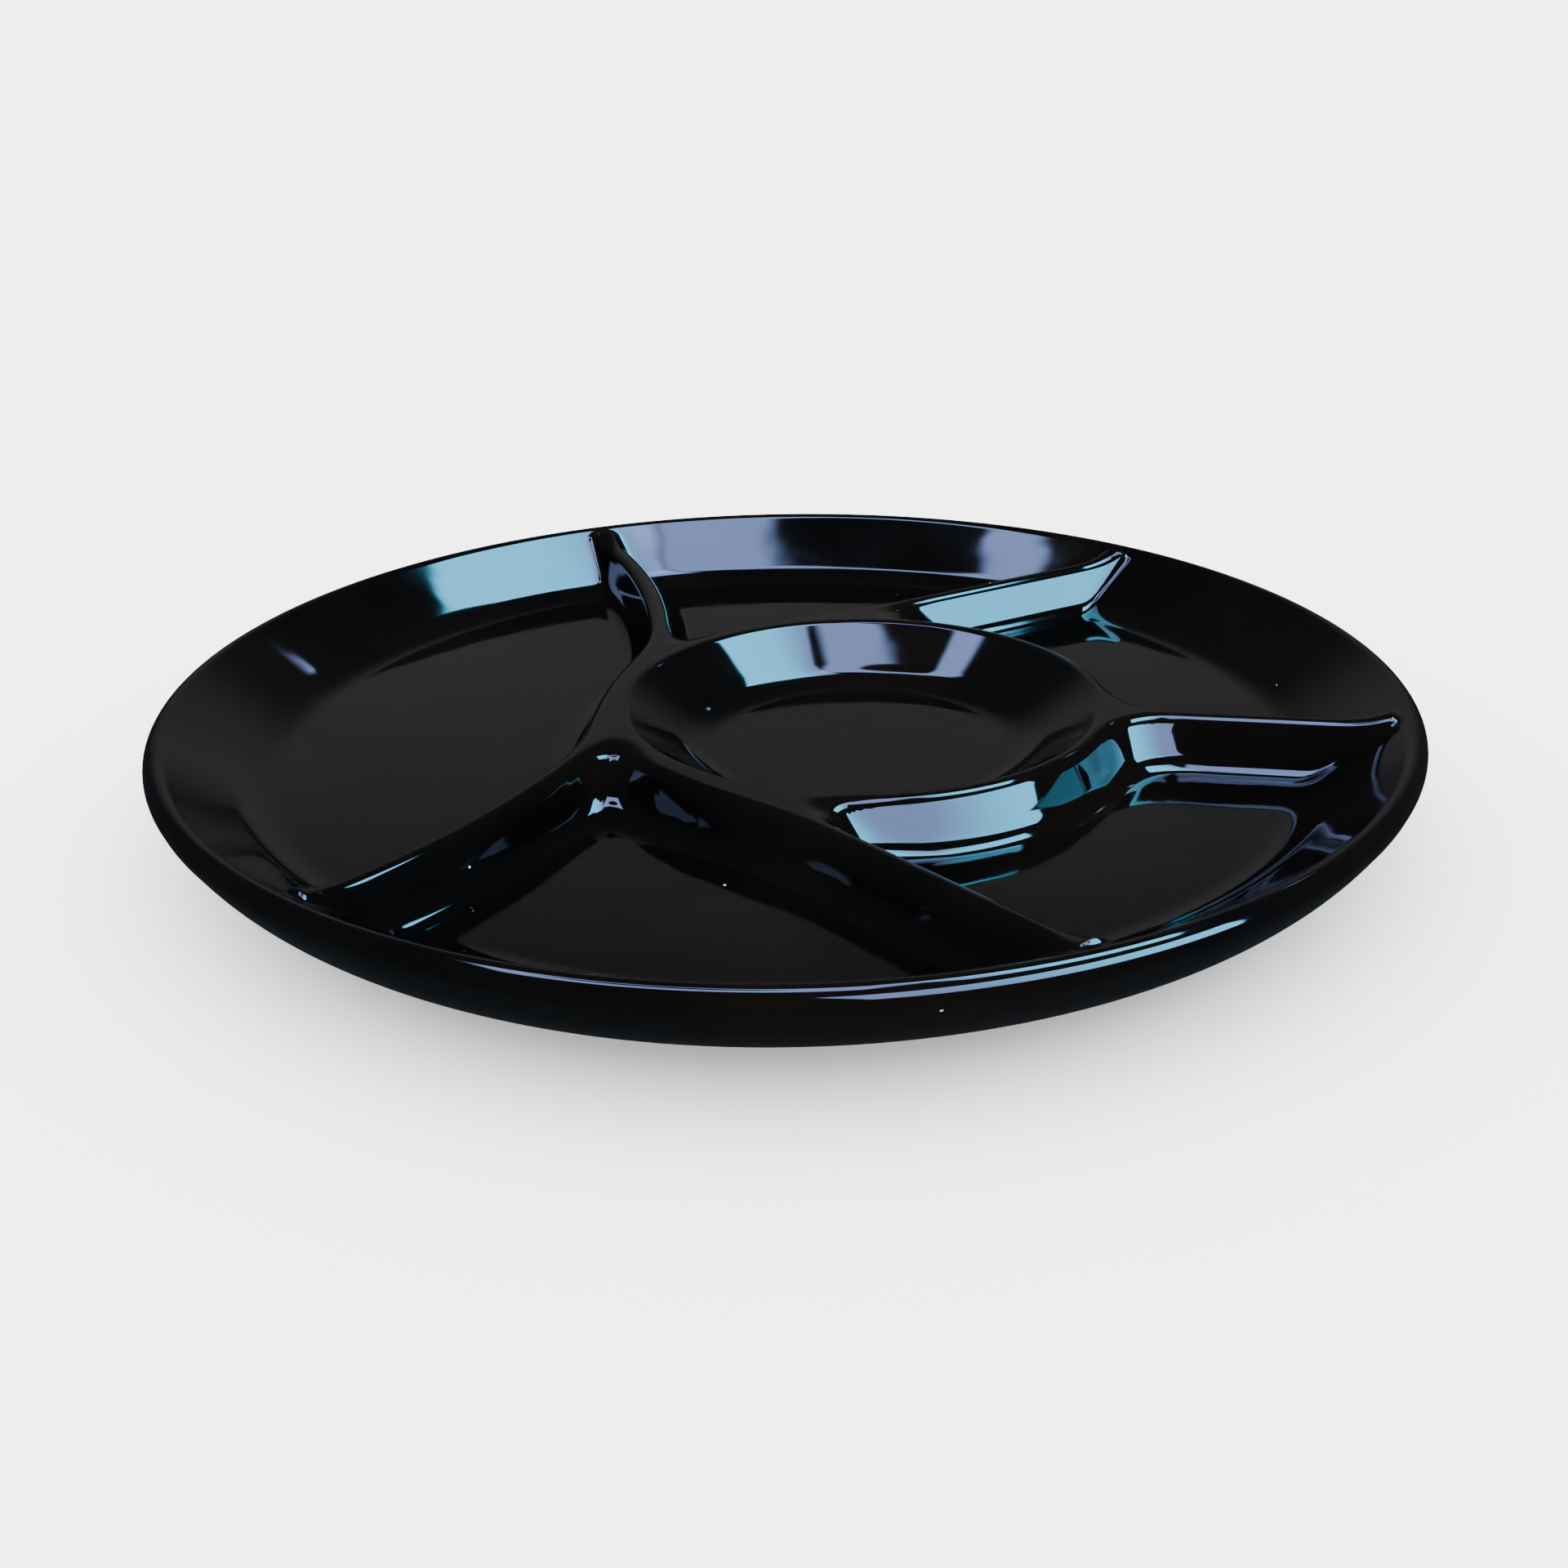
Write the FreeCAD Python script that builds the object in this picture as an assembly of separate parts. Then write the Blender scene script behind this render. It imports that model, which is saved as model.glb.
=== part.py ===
"""Divided serving plate: a round glazed stoneware plate with an off-centre dip bowl and five wells.

Millimetres, +Z up. The origin is the centre of the foot's bearing face. +X runs from the plate's
centre through the dip bowl, and the XZ plane is the plate's mirror plane. The fired body is one
piece, cut here into its natural regions, and the glaze is a thin coat over it.
"""

import FreeCAD
import Part
import math
import os

os.makedirs("parts", exist_ok=True)

# Whole plate
PLATE_DIAMETER = 250.0
PLATE_HEIGHT = 24.0
LIP_RADIUS = 2.5
RIM_LEAN_DEG = 54.0  # inner side of the rim, from upright
RIM_BLEND_RADIUS = 14.0  # where the rim's inner side turns into the floor
WALL_CURVE_RADIUS = 33.5  # bulge of the outer wall

# Floor and foot
WELL_DEPTH = 12.0  # top of the lip to the floor
FOOT_INSET = 25.0  # edge of the plate to the outside of the foot
FOOT_WIDTH = 5.0
FOOT_HEIGHT = 4.0
FOOT_TO_WALL = 5.0  # level step from the foot out to the outer wall

# Dip bowl
BOWL_OFFSET = 15.7
BOWL_CREST_RADIUS = 48.0
BOWL_CREST_DROP = 1.9  # top of the lip to the top of the bowl's wall
BOWL_LEAN_DEG = 54.0  # inner side of the bowl's wall, from upright
BOWL_BLEND_RADIUS = 14.0

# Dividers
CREST_DROP = 2.4  # top of the lip to the top of the dividers
CREST_RADIUS = 2.6
DRAFT_DEG = 20.0  # lean of a divider's sides
FLARE_RADIUS = 5.0  # where a divider's side turns into the floor
DIVIDER_TUCK = 2.0  # how far a side divider's line runs inside the bowl's crest, abreast its centre
ARC_DIVIDER_RADIUS = 172.0  # the two curved dividers lie on one arc
SIDE_DIVIDER_DEG = 39.6  # direction of the two slanting dividers

# Glaze
GLAZE = 0.4  # the foot ring is left bare

# Where the body is cut into regions
LIP_REGION_WIDTH = 8.0
REGION_MARGIN = 0.3  # outside a divider's flare
BOWL_REGION_MARGIN = 1.0

UP = FreeCAD.Vector(0, 0, 1)
ORIGIN = FreeCAD.Vector(0, 0, 0)
QUARTER_TURN_DEG = 90

PLATE_RADIUS = PLATE_DIAMETER / 2
FOOT_RADIUS = PLATE_RADIUS - FOOT_INSET
ROOT_LEVEL = (PLATE_HEIGHT - WELL_DEPTH + FOOT_HEIGHT) / 2  # where the dividers' roots end
BOWL_CENTRE = FreeCAD.Vector(BOWL_OFFSET, 0, 0)
SIDE_OFFSET = BOWL_CREST_RADIUS - DIVIDER_TUCK
ARC_CENTRE = FreeCAD.Vector(BOWL_OFFSET - SIDE_OFFSET - ARC_DIVIDER_RADIUS, 0, 0)


def polar(centre, radius, angle):
    """Point of a plane at an angle from its first axis about a centre."""
    return (centre[0] + radius * math.cos(angle), centre[1] + radius * math.sin(angle))


def outline(start, steps):
    """Face of the XZ plane whose outline takes straight steps (end) and arc steps (through, end)."""

    def point(p):
        return FreeCAD.Vector(p[0], 0, p[1])

    here = start
    edges = []
    for step in steps:
        end = step[-1]
        if len(step) == 1:
            edges.append(Part.makeLine(point(here), point(end)))
        else:
            edges.append(Part.Arc(point(here), point(step[0]), point(end)).toShape())
        here = end
    edges.append(Part.makeLine(point(here), point(start)))
    return Part.Face(Part.Wire(edges))


def flank(top_centre, crest, lean, floor, flare):
    """Side of a wall that leans out from under its round top and flares into the floor.

    Gives the shoulder, the ankle, a point half way round the flare and the end of the flare.
    """
    shoulder = polar(top_centre, crest, lean)
    fall = shoulder[1] - floor - flare * (1 - math.sin(lean))
    ankle = (shoulder[0] + fall * math.tan(lean), shoulder[1] - fall)
    flare_centre = polar(ankle, flare, lean)
    middle = polar(flare_centre, flare, math.pi + (lean + math.pi / 2) / 2)
    return shoulder, ankle, middle, (flare_centre[0], floor)


def mirrored(p, middle):
    return (2 * middle - p[0], p[1])


def wall_section(middle, skin, drop=CREST_DROP, inner_lean_deg=DRAFT_DEG, inner_flare=FLARE_RADIUS):
    """Section of a divider or of the bowl's wall, with its centre line at middle and a root."""
    crest = CREST_RADIUS - skin
    level = PLATE_HEIGHT - drop - skin
    floor = PLATE_HEIGHT - WELL_DEPTH - skin
    centre = (middle, level - crest)
    outer_lean = math.radians(DRAFT_DEG)
    inner_lean = math.radians(inner_lean_deg)
    outer = flank(centre, crest, outer_lean, floor, FLARE_RADIUS + skin)
    inner = flank(centre, crest, inner_lean, floor, inner_flare + skin)
    shoulder, ankle, flare_middle, end = [mirrored(p, middle) for p in inner]
    return outline(
        (end[0], ROOT_LEVEL),
        [
            (end,),
            (flare_middle, ankle),
            (shoulder,),
            ((middle, level), outer[0]),
            (outer[1],),
            (outer[2], outer[3]),
            ((outer[3][0], ROOT_LEVEL),),
        ],
    )


def reach(drop=CREST_DROP, lean_deg=DRAFT_DEG, flare=FLARE_RADIUS):
    """From a wall's centre line to where its side meets the floor, under the glaze."""
    level = PLATE_HEIGHT - drop - CREST_RADIUS
    floor = PLATE_HEIGHT - WELL_DEPTH - GLAZE
    end = flank((0, level), CREST_RADIUS - GLAZE, math.radians(lean_deg), floor, flare + GLAZE)[3]
    return end[0]


def lip_centre():
    return (PLATE_RADIUS - LIP_RADIUS, PLATE_HEIGHT - LIP_RADIUS)


def rim_flank(skin):
    floor = PLATE_HEIGHT - WELL_DEPTH - skin
    lean = math.radians(RIM_LEAN_DEG)
    side = flank(lip_centre(), LIP_RADIUS - skin, lean, floor, RIM_BLEND_RADIUS + skin)
    return [mirrored(p, lip_centre()[0]) for p in side]


def wall_centre():
    """Centre of the outer wall's bulge, which runs from the foot and is tangent to the lip."""
    start = (FOOT_RADIUS + FOOT_TO_WALL, FOOT_HEIGHT)
    end = lip_centre()
    end_radius = WALL_CURVE_RADIUS - LIP_RADIUS
    gap = math.dist(start, end)
    along = (gap**2 + WALL_CURVE_RADIUS**2 - end_radius**2) / (2 * gap)
    aside = math.sqrt(WALL_CURVE_RADIUS**2 - along**2)
    ux = (end[0] - start[0]) / gap
    uz = (end[1] - start[1]) / gap
    return (start[0] + along * ux - aside * uz, start[1] + along * uz + aside * ux)


def make_dish(skin):
    """The plate without its bowl and dividers, with every surface moved inwards by skin."""
    lip = lip_centre()
    bulge = wall_centre()
    bulge_radius = WALL_CURVE_RADIUS - skin
    base = FOOT_HEIGHT + skin
    low = math.asin((base - bulge[1]) / bulge_radius)
    high = math.atan2(lip[1] - bulge[1], lip[0] - bulge[0])
    lean = math.radians(RIM_LEAN_DEG)
    shoulder, ankle, blend_middle, floor_edge = rim_flank(skin)
    section = outline(
        (0, base),
        [
            ((FOOT_RADIUS - FOOT_WIDTH, base),),
            ((FOOT_RADIUS - FOOT_WIDTH, 0),),
            ((FOOT_RADIUS, 0),),
            ((FOOT_RADIUS, base),),
            (polar(bulge, bulge_radius, low),),
            (polar(bulge, bulge_radius, (low + high) / 2), polar(bulge, bulge_radius, high)),
            (polar(lip, LIP_RADIUS - skin, (high + math.pi - lean) / 2), shoulder),
            (ankle,),
            (blend_middle, floor_edge),
            ((0, floor_edge[1]),),
        ],
    )
    return section.revolve(ORIGIN, UP, 360)


def make_core():
    """What the dividers are trimmed to, so that they end inside the rim and the bowl's wall."""
    lip = lip_centre()
    start = (0, ROOT_LEVEL)
    top = PLATE_HEIGHT
    steps = [((FOOT_RADIUS, ROOT_LEVEL),), (lip,), ((lip[0], top),), ((0, top),)]
    core = outline(start, steps).revolve(ORIGIN, UP, 360)
    return core.cut(upright(0, BOWL_CREST_RADIUS, BOWL_CENTRE))


def about(shape, centre, start_deg=0):
    """A copy, turned about the upright axis and then moved from the origin to a centre."""
    copy = shape.copy()
    copy.rotate(ORIGIN, UP, start_deg)
    copy.translate(centre)
    return copy


def straight_divider(skin, direction_deg, sideways):
    """Divider that runs outwards from abreast the bowl's centre, at a distance to its left."""
    bar = wall_section(0, skin).extrude(FreeCAD.Vector(0, -PLATE_DIAMETER, 0))
    start = BOWL_CREST_RADIUS if sideways == 0 else 0
    bar = about(bar, FreeCAD.Vector(start, sideways, 0), QUARTER_TURN_DEG)
    return about(bar, BOWL_CENTRE, direction_deg)


def make_walls(skin):
    """The bowl's wall and the five dividers, before they are joined to the plate."""
    bowl = wall_section(BOWL_CREST_RADIUS, skin, BOWL_CREST_DROP, BOWL_LEAN_DEG, BOWL_BLEND_RADIUS)
    bowl = about(bowl.revolve(ORIGIN, UP, 360), BOWL_CENTRE)
    arc = wall_section(ARC_DIVIDER_RADIUS, skin).revolve(ORIGIN, UP, QUARTER_TURN_DEG)
    arc = about(arc, ARC_CENTRE, -QUARTER_TURN_DEG / 2)
    front = straight_divider(skin, -SIDE_DIVIDER_DEG, -SIDE_OFFSET)
    back = straight_divider(skin, SIDE_DIVIDER_DEG, SIDE_OFFSET)
    axial = straight_divider(skin, 0, 0)
    core = make_core()
    return [bowl] + [wall.common(core) for wall in (arc, front, back, axial)]


def make_plate(skin):
    plate = make_dish(skin).fuse(make_walls(skin))
    return plate.removeSplitter()


def upright(inner, outer, centre=ORIGIN, low=0, high=PLATE_HEIGHT):
    """Ring or disc that stands between two levels."""
    base = FreeCAD.Vector(centre.x, centre.y, low)
    slab = Part.makeCylinder(outer, high - low, base)
    if inner > 0:
        slab = slab.cut(Part.makeCylinder(inner, high - low, base))
    return slab


def strip(direction_deg, sideways):
    """Upright slab over a straight divider."""
    half = reach() + REGION_MARGIN
    slab = Part.makeBox(PLATE_DIAMETER, 2 * half, PLATE_HEIGHT, FreeCAD.Vector(0, sideways - half, 0))
    return about(slab, BOWL_CENTRE, direction_deg)


def around(solid):
    """Angle of a solid about the middle of the plate, from 0 to a whole turn."""
    middle = solid.CenterOfMass
    return math.atan2(middle.y, middle.x) % (2 * math.pi)


def cut_out(body, tool):
    """What lies inside a tool, and what is left."""
    return body.common(tool), body.cut(tool)


def make_regions(body):
    """The fired body's natural regions, face to face, by name."""
    regions = {}
    base = FOOT_HEIGHT + GLAZE
    half = reach() + REGION_MARGIN
    bowl_floor = BOWL_CREST_RADIUS - reach(BOWL_CREST_DROP, BOWL_LEAN_DEG, BOWL_BLEND_RADIUS)
    bowl_edge = BOWL_CREST_RADIUS + reach(BOWL_CREST_DROP) + BOWL_REGION_MARGIN
    arc_band = upright(ARC_DIVIDER_RADIUS - half, ARC_DIVIDER_RADIUS + half, ARC_CENTRE)
    tools = {
        "foot_ring": upright(0, PLATE_RADIUS, high=base),
        "lip": upright(PLATE_RADIUS - LIP_REGION_WIDTH, PLATE_RADIUS),
        "dip_bowl_floor": upright(0, bowl_floor, BOWL_CENTRE),
        "dip_bowl_wall": upright(0, bowl_edge, BOWL_CENTRE),
        "left_dividers": arc_band,
        "front_divider": strip(-SIDE_DIVIDER_DEG, -SIDE_OFFSET),
        "back_divider": strip(SIDE_DIVIDER_DEG, SIDE_OFFSET),
        "right_divider": strip(0, 0),
        "well_floors": upright(0, rim_flank(GLAZE)[3][0]),
    }
    for name, tool in tools.items():
        regions[name], body = cut_out(body, tool)
    regions["well_rims"] = body
    wells = ("back_right", "back", "left", "front", "front_right")
    for group, ending in (("well_floors", "_well_floor"), ("well_rims", "_well_rim")):
        for well, solid in zip(wells, sorted(regions.pop(group).Solids, key=around)):
            regions[well + ending] = solid
    pair = sorted(regions.pop("left_dividers").Solids, key=around)
    regions["back_left_divider"], regions["front_left_divider"] = pair
    return regions


def make_glaze(body):
    """Glaze over the whole plate but the foot: over the top and outside, and under the base."""
    coats = make_plate(0).cut(body).Solids
    return dict(zip(("base_glaze", "glaze"), sorted(coats, key=lambda coat: coat.Volume)))


bisque = make_plate(GLAZE)
nodes = make_regions(bisque)
nodes.update(make_glaze(bisque))
for name, shape in nodes.items():
    shape.exportStep("parts/" + name + ".step")
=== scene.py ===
"""Looks of a divided serving plate: a deep gloss black glaze over a pressed stoneware body.

Metres, +Z up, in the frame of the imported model. Every surface is worked out with numpy.
"""

import math

import bpy
import numpy as np
from mathutils import Matrix, Vector


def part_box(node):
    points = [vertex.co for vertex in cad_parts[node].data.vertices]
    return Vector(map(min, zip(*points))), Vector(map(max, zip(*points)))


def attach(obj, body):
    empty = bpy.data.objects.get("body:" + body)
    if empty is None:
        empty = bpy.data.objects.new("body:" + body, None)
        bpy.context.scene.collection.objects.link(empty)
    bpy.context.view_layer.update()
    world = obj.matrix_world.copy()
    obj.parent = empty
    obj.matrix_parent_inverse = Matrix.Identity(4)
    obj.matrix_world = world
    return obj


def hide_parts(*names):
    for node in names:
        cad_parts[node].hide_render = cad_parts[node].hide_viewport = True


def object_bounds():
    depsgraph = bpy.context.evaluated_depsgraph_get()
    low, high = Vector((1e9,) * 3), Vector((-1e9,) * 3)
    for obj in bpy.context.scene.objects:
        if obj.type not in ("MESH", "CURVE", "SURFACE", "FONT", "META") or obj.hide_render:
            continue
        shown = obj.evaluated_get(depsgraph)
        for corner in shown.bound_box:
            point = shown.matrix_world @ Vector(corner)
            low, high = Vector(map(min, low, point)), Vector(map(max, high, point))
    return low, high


bl_info = {
    "name": "Divided Plate",
    "version": (1, 0, 0),
    "blender": (4, 5, 0),
    "location": "3D View > Sidebar > Plate",
    "description": "Glazed divided serving plate with a dip bowl, on a studio stage",
    "category": "Object",
}

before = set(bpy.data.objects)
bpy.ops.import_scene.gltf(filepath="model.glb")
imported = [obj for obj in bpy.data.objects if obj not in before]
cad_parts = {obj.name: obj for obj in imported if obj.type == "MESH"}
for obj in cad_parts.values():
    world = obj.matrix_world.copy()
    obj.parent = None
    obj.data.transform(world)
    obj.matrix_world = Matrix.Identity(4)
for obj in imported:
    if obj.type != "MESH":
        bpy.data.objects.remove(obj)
CAD_LOW, CAD_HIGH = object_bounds()

MM = 0.001
GLAZE = 0.4 * MM
PLATE_NODES = sorted(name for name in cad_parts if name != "foot_ring")
PLATE_RADIUS = (CAD_HIGH.x - CAD_LOW.x) / 2
PLATE_HEIGHT = CAD_HIGH.z
FLOOR_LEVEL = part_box("left_well_floor")[1].z + GLAZE
BASE_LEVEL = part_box("base_glaze")[0].z
FOOT_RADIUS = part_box("foot_ring")[1].x
FOOT_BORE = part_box("base_glaze")[1].x
BOWL_X = (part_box("dip_bowl_floor")[0].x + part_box("dip_bowl_floor")[1].x) / 2

# how the grid lines of a well crowd towards its dividers, its collar and the rim
BESIDE_AT_COLLAR, BESIDE_AT_LIP, BESIDE_STEPS = 15 * MM, 10 * MM, 25
RIM_REACH, RIM_STEPS, RIM_CROWDING = 26 * MM, 28, 1.5
COLLAR_STEPS = np.array([0, 1 * MM])
FLOOR_STEPS = 8
AXIAL_LINES, SLANT_LINES, ARC_LINES = 40, 32, 54

# how many rings the bowl has over its floor, its wall and its crest out to the collar
FLOOR_RINGS, WALL_RINGS, CREST_RINGS = 6, 18, 34
CREST_BAND = 2.4 * MM

# how many points a section has along each of its stretches
LIP_POINTS, LINE_POINTS, WALL_POINTS, BASE_POINTS = 18, 20, 26, 6
EDGE_POINTS, HIDDEN_POINTS = 9, 3
FOOT_TURNS = 241
WELD = 0.001 * MM


# ---------------------------------------------------------------- sizes and colours


def length(name, description, default):
    return bpy.props.FloatProperty(
        name=name, description=description, default=default, unit="LENGTH", precision=4
    )


def angle(name, description, degrees):
    return bpy.props.FloatProperty(
        name=name, description=description, default=math.radians(degrees), unit="ROTATION"
    )


def colour(name, description, default):
    return bpy.props.FloatVectorProperty(
        name=name, description=description, default=default, size=3, min=0, max=1, subtype="COLOR"
    )


def amount(name, description, default, most=1.0):
    return bpy.props.FloatProperty(
        name=name, description=description, default=default, min=0, max=most, subtype="FACTOR"
    )


class PlateShape(bpy.types.PropertyGroup):
    """Sizes of the glazed plate."""

    lip_radius: length("Lip radius", "Half the thickness of the rounded lip", 2.5 * MM)
    rim_lean: angle("Rim lean", "Inner side of the rim, from upright", 54)
    rim_blend: length("Rim blend", "Radius where the rim turns into the floor", 14 * MM)
    wall_bulge: length("Outer wall radius", "Radius of the outer wall's bulge", 33.5 * MM)
    foot_gap: length("Foot to wall", "Flat base between the foot and the outer wall", 5 * MM)
    foot_edge: length("Foot edge", "Rounding of the foot's lower edges", 1.1 * MM)
    mould_line: length("Mould line", "Height of the fine line under the lip", 0.12 * MM)
    mould_width: length("Mould line width", "Half width of the fine line", 0.3 * MM)
    mould_drop: length("Mould line drop", "Way down the wall to the fine line", 1.2 * MM)
    bowl_radius: length("Bowl radius", "Middle of the dip bowl's wall", 48 * MM)
    bowl_lean: angle("Bowl lean", "Inner side of the bowl, from upright", 54)
    bowl_blend: length("Bowl blend", "Radius where the bowl turns into its floor", 14 * MM)
    crest_drop: length("Crest drop", "Lip down to the dividers' tops", 2.1 * MM)
    crest_radius: length("Crest radius", "Rounding of the dividers' tops", 2.6 * MM)
    draft: angle("Draft", "Lean of the dividers' sides", 20)
    flare: length("Flare", "Radius where a divider turns into the floor", 5 * MM)
    tuck: length("Tuck", "How far side dividers run inside the bowl's crest", 2 * MM)
    arc_radius: length("Arc radius", "Radius of the two curved dividers", 172 * MM)
    slant: angle("Slant", "Direction of the two slanting dividers", 39.6)
    corner: length("Corner", "How far dividers blend where they meet", 14 * MM)
    fade: length("Fade", "How far from the lip's line a divider's top fades out", 4 * MM)
    corner_power: bpy.props.FloatProperty(
        name="Rim corner power",
        description="Sharpness of the corner between dividers and rim",
        default=3.5,
        min=2,
        max=20,
    )


class GlazeLook(bpy.types.PropertyGroup):
    """Colours and finish of the glaze and of the bare clay."""

    black: colour("Glaze", "Deep colour of the glaze", (0.0006, 0.0006, 0.0007))
    thin: colour("Thin glaze", "Colour where the glaze runs thin", (0.0014, 0.0011, 0.0009))
    roughness: amount("Roughness", "Roughness of the glaze", 0.035)
    ripple: amount("Ripple", "Unevenness of the glaze", 0.25)
    dust: amount("Dust", "Share of the surface with a dust speck", 0.5)
    dust_colour: colour("Dust colour", "Colour of a dust speck", (0.35, 0.33, 0.30))
    clay: colour("Clay", "Bare stoneware", (0.34, 0.27, 0.20))


class StageLook(bpy.types.PropertyGroup):
    """Floor, light and camera."""

    floor: colour("Floor", "Colour of the floor", (0.86, 0.86, 0.85))
    floor_size: length("Floor size", "Width of the floor", 24.0)
    ambient: amount("Ambient", "Light from all round", 6.0, 10)
    window: colour("Window", "Colour of the brightest window light", (0.10, 0.50, 0.80))
    cool: colour("Sky", "Colour of the dimmer window light", (0.137, 0.19, 0.38))
    room: colour("Room", "Colour of the dim room behind the plate", (0.33, 0.32, 0.30))
    glow: amount("Glow", "Brightness of the window light", 30.0, 200)
    room_glow: amount("Room glow", "Brightness of the dim room", 0.38, 10)
    focal: bpy.props.FloatProperty(
        name="Focal length", description="Camera lens", default=46.87, min=10, max=200
    )
    distance: length("Distance", "Camera to the middle of the lip", 412.5 * MM)
    azimuth: angle("Azimuth", "Camera's turn about the plate", 9.848)
    elevation: angle("Elevation", "Camera above the horizon", 20.98)
    roll: angle("Roll", "Camera's tilt about its own line of sight", -0.922)
    rise: bpy.props.FloatProperty(
        name="Shift", description="Vertical lens shift", default=-0.06368, min=-1, max=1
    )


# ---------------------------------------------------------------- surfaces


def flank(distance, top, crest, lean, flare):
    """Height above the floor at a distance from a wall's centre line.

    From the middle outwards: a round top of radius crest, a straight side that leans by an angle
    from upright, and a hollow flare that is tangent to the floor.
    """
    centre = top - crest
    shoulder = crest * math.cos(lean)
    shoulder_top = centre + crest * math.sin(lean)
    ankle = shoulder + (shoulder_top - flare * (1 - math.sin(lean))) * math.tan(lean)
    toe = ankle + flare * math.cos(lean)
    round_top = centre + np.sqrt(np.maximum(crest**2 - distance**2, 0))
    side = shoulder_top - (distance - shoulder) / math.tan(lean)
    hollow = flare - np.sqrt(np.maximum(flare**2 - (toe - distance) ** 2, 0))
    height = np.where(distance <= toe, hollow, 0)
    height = np.where(distance <= ankle, side, height)
    return np.where(distance <= shoulder, round_top, height)


def smooth_least(a, b, blend):
    """The lesser of two distances, lowered by a parabola where they differ by less than blend."""
    near = np.maximum(blend - np.abs(a - b), 0)
    return np.minimum(a, b) - near**2 / (4 * blend)


def top_height(x, y, s):
    """Height of the plate's top at plan points.

    The rim is a flank about the lip's circle. The bowl's wall and the dividers are one flank
    whose distance is the smooth least of the distances to their centre lines. Rim and dividers
    join as the pth root of the sum of their pth powers, and the dividers fade out under the lip.
    """
    lip_line = PLATE_RADIUS - s.lip_radius
    depth = PLATE_HEIGHT - FLOOR_LEVEL
    out = np.hypot(x, y)
    rim = flank(np.abs(out - lip_line), depth, s.lip_radius, s.rim_lean, s.rim_blend)

    across = x - BOWL_X
    from_bowl = np.hypot(across, y)
    along = across * math.cos(s.slant) + np.abs(y) * math.sin(s.slant)
    aside = np.abs(y) * math.cos(s.slant) - across * math.sin(s.slant)
    side_offset = s.bowl_radius - s.tuck
    slanting = np.hypot(np.minimum(along, 0), aside - side_offset)
    axial = np.hypot(np.minimum(across - s.bowl_radius, 0), y)
    arc = np.abs(np.hypot(across + side_offset + s.arc_radius, y) - s.arc_radius)
    gap = smooth_least(np.maximum(from_bowl - s.bowl_radius, 0), slanting, s.corner)
    gap = smooth_least(gap, arc, s.corner)
    gap = np.maximum(smooth_least(gap, axial, s.corner), 0)
    crest = depth - s.crest_drop
    ridge = flank(gap, crest, s.crest_radius, s.draft, s.flare)
    fade = np.clip((lip_line - out) / s.fade, 0, 1)
    ridge = ridge * fade**2 * (3 - 2 * fade)

    joined = (rim**s.corner_power + ridge**s.corner_power) ** (1 / s.corner_power)
    inside = np.maximum(s.bowl_radius - from_bowl, 0)
    bowl = flank(inside, crest, s.crest_radius, s.bowl_lean, s.bowl_blend)
    return FLOOR_LEVEL + np.where(from_bowl < s.bowl_radius, bowl, joined)


def top_points(x, y, s):
    """Points of the top and their normals, from central differences of the height."""
    step = 0.02 * MM
    slope_x = (top_height(x + step, y, s) - top_height(x - step, y, s)) / (2 * step)
    slope_y = (top_height(x, y + step, s) - top_height(x, y - step, s)) / (2 * step)
    points = np.stack([x, y, top_height(x, y, s)], -1)
    return points, np.stack([-slope_x, -slope_y, np.ones_like(x)], -1)


def spaced(near, middle, far, span):
    """Places from 0 to 1 along a span, for distances near its start, equal steps, and far ones."""
    first = near / span
    last = 1 - far[::-1] / span
    between = np.linspace(first[-1], last[0], middle + 2)[1:-1]
    return np.concatenate([first, between, last])


def circle(centre_x, radius, turn):
    """Plan points on a circle whose centre is on the X axis."""
    return np.stack([centre_x + radius * np.cos(turn), radius * np.sin(turn)], -1)


class Divider:
    """A divider's centre line from the bowl's collar to the lip, as points at shares of it."""

    def __init__(self, s, kind, side, collar):
        self.kind = kind
        self.side = side
        lip_line = PLATE_RADIUS - s.lip_radius
        side_offset = s.bowl_radius - s.tuck
        if kind == "arc":
            self.centre = BOWL_X - side_offset - s.arc_radius
            self.radius = s.arc_radius
            gap = BOWL_X - self.centre
            start = math.acos((gap**2 + self.radius**2 - collar**2) / (2 * gap * self.radius))
            gap = -self.centre
            end = math.acos((gap**2 + self.radius**2 - lip_line**2) / (2 * gap * self.radius))
            self.start, self.end = start, end
            self.length = (end - start) * self.radius
        else:
            lean = s.slant if kind == "slant" else 0
            aside = side_offset if kind == "slant" else 0
            reach = math.sqrt(collar**2 - aside**2)
            self.along = np.array([math.cos(lean), math.sin(lean)])
            base = np.array([BOWL_X, 0]) + aside * np.array([-math.sin(lean), math.cos(lean)])
            self.base = base + reach * self.along
            drop = self.base @ self.along
            self.length = -drop + math.sqrt(drop**2 + lip_line**2 - self.base @ self.base)

    def at(self, share):
        """Plan points at shares of the way from the collar to the lip."""
        if self.kind == "arc":
            turn = self.start + (self.end - self.start) * share
            points = circle(self.centre, self.radius, turn)
        else:
            points = self.base + np.multiply.outer(share * self.length, self.along)
        return points * np.array([1, self.side])

    def turn_about(self, centre_x, share):
        """Direction in which one of its points is seen from a centre on the X axis."""
        x, y = self.at(np.array(share, float))
        return math.atan2(y, x - centre_x)


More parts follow.
